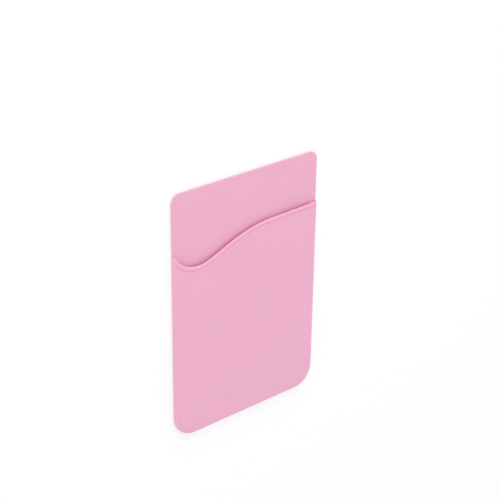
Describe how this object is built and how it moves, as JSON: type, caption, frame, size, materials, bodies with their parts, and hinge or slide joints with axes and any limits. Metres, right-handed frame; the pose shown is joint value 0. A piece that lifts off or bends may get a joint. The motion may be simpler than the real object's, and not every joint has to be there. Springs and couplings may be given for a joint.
{
  "type": "stick on phone card holder",
  "caption": "Thin soft silicone pouch with a wave-shaped mouth and a lip, and an adhesive back that sticks to a phone.",
  "frame": {"origin": "middle of the adhesive face, on the surface that the holder sticks to or lies on", "axes": "+X to the right across the pouch, +Y along it towards the mouth, +Z out of its front face"},
  "size_m": [0.059, 0.088, 0.0026],
  "materials": {
    "silicone": "soft matte pink silicone",
    "adhesive": "off-white adhesive film"
  },
  "bodies": {
    "root": {"silicone_pouch": "silicone", "adhesive_pad": "adhesive"}
  },
  "joints": []
}
